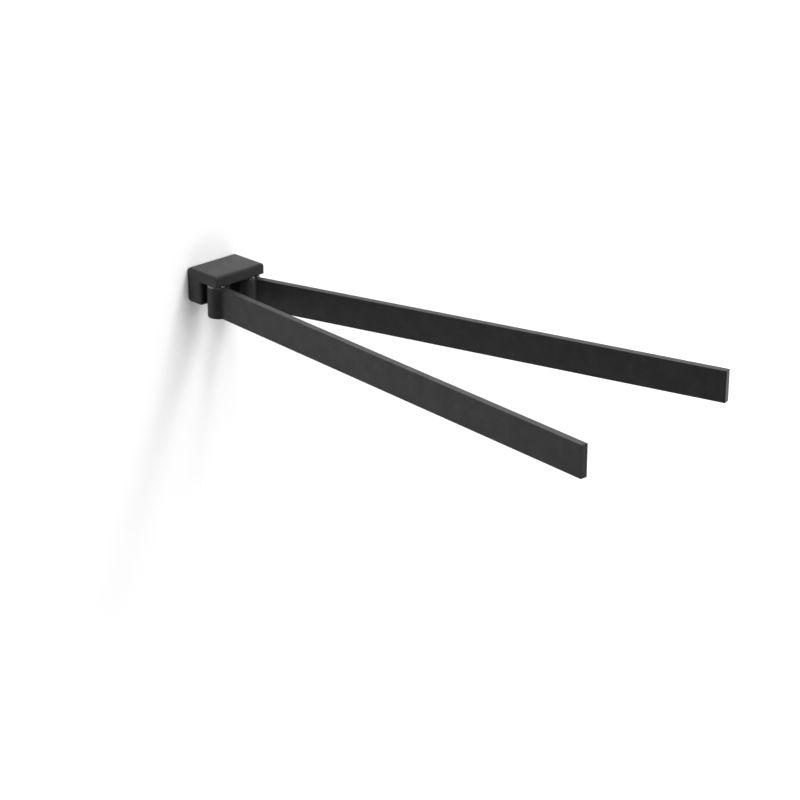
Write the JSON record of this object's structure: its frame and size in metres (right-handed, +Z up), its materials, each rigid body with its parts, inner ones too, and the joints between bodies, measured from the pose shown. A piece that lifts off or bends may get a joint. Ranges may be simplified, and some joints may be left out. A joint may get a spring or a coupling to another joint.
{
  "type": "swivel towel rack",
  "caption": "Wall-mounted towel rack: a compact hinge block carries flat bars that swing sideways on upright pivots to hang and dry towels.",
  "frame": {"origin": "middle of the wall plate's back face, between its two screw holes, on the plane of the wall", "axes": "+Y into the wall, so the bars reach out along -Y; +Z up; +X to the right for someone facing the wall"},
  "size_m": [0.1789, 0.4342, 0.0361],
  "materials": {
    "black_coat": "fine matt black powder coat",
    "washer_plastic": "smooth dark grey acetal",
    "cap_plastic": "black moulded plastic, fine grain",
    "bush_plastic": "natural nylon",
    "pin_steel": "turned stainless steel",
    "spring_steel": "phosphated spring steel",
    "plated_steel": "bright zinc plate"
  },
  "bodies": {
    "bracket": {"hinge_block": "black_coat", "wall_plate": "plated_steel", "grub_screw": "pin_steel", "left_pivot_pin": "pin_steel", "left_top_washer": "washer_plastic", "left_spring_washer": "spring_steel", "left_retaining_washer": "plated_steel", "left_retaining_screw": "pin_steel", "right_pivot_pin": "pin_steel", "right_top_washer": "washer_plastic", "right_spring_washer": "spring_steel", "right_retaining_washer": "plated_steel", "right_retaining_screw": "pin_steel"},
    "left_arm": {"left_knuckle": "black_coat", "left_bar": "black_coat", "left_bar_pins": "pin_steel", "left_upper_bush": "bush_plastic", "left_lower_bush": "bush_plastic", "left_knuckle_cap": "cap_plastic"},
    "right_arm": {"right_knuckle": "black_coat", "right_bar": "black_coat", "right_bar_pins": "pin_steel", "right_upper_bush": "bush_plastic", "right_lower_bush": "bush_plastic", "right_knuckle_cap": "cap_plastic"}
  },
  "joints": [
    {"name": "left_swing", "type": "hinge", "parent": "bracket", "child": "left_arm", "pos_m": [-0.016, -0.0265, 0], "axis": [0, 0, 1], "range_deg": [-86, 4]},
    {"name": "right_swing", "type": "hinge", "parent": "bracket", "child": "right_arm", "pos_m": [0.016, -0.0265, 0], "axis": [0, 0, 1], "range_deg": [-16, 74]}
  ]
}
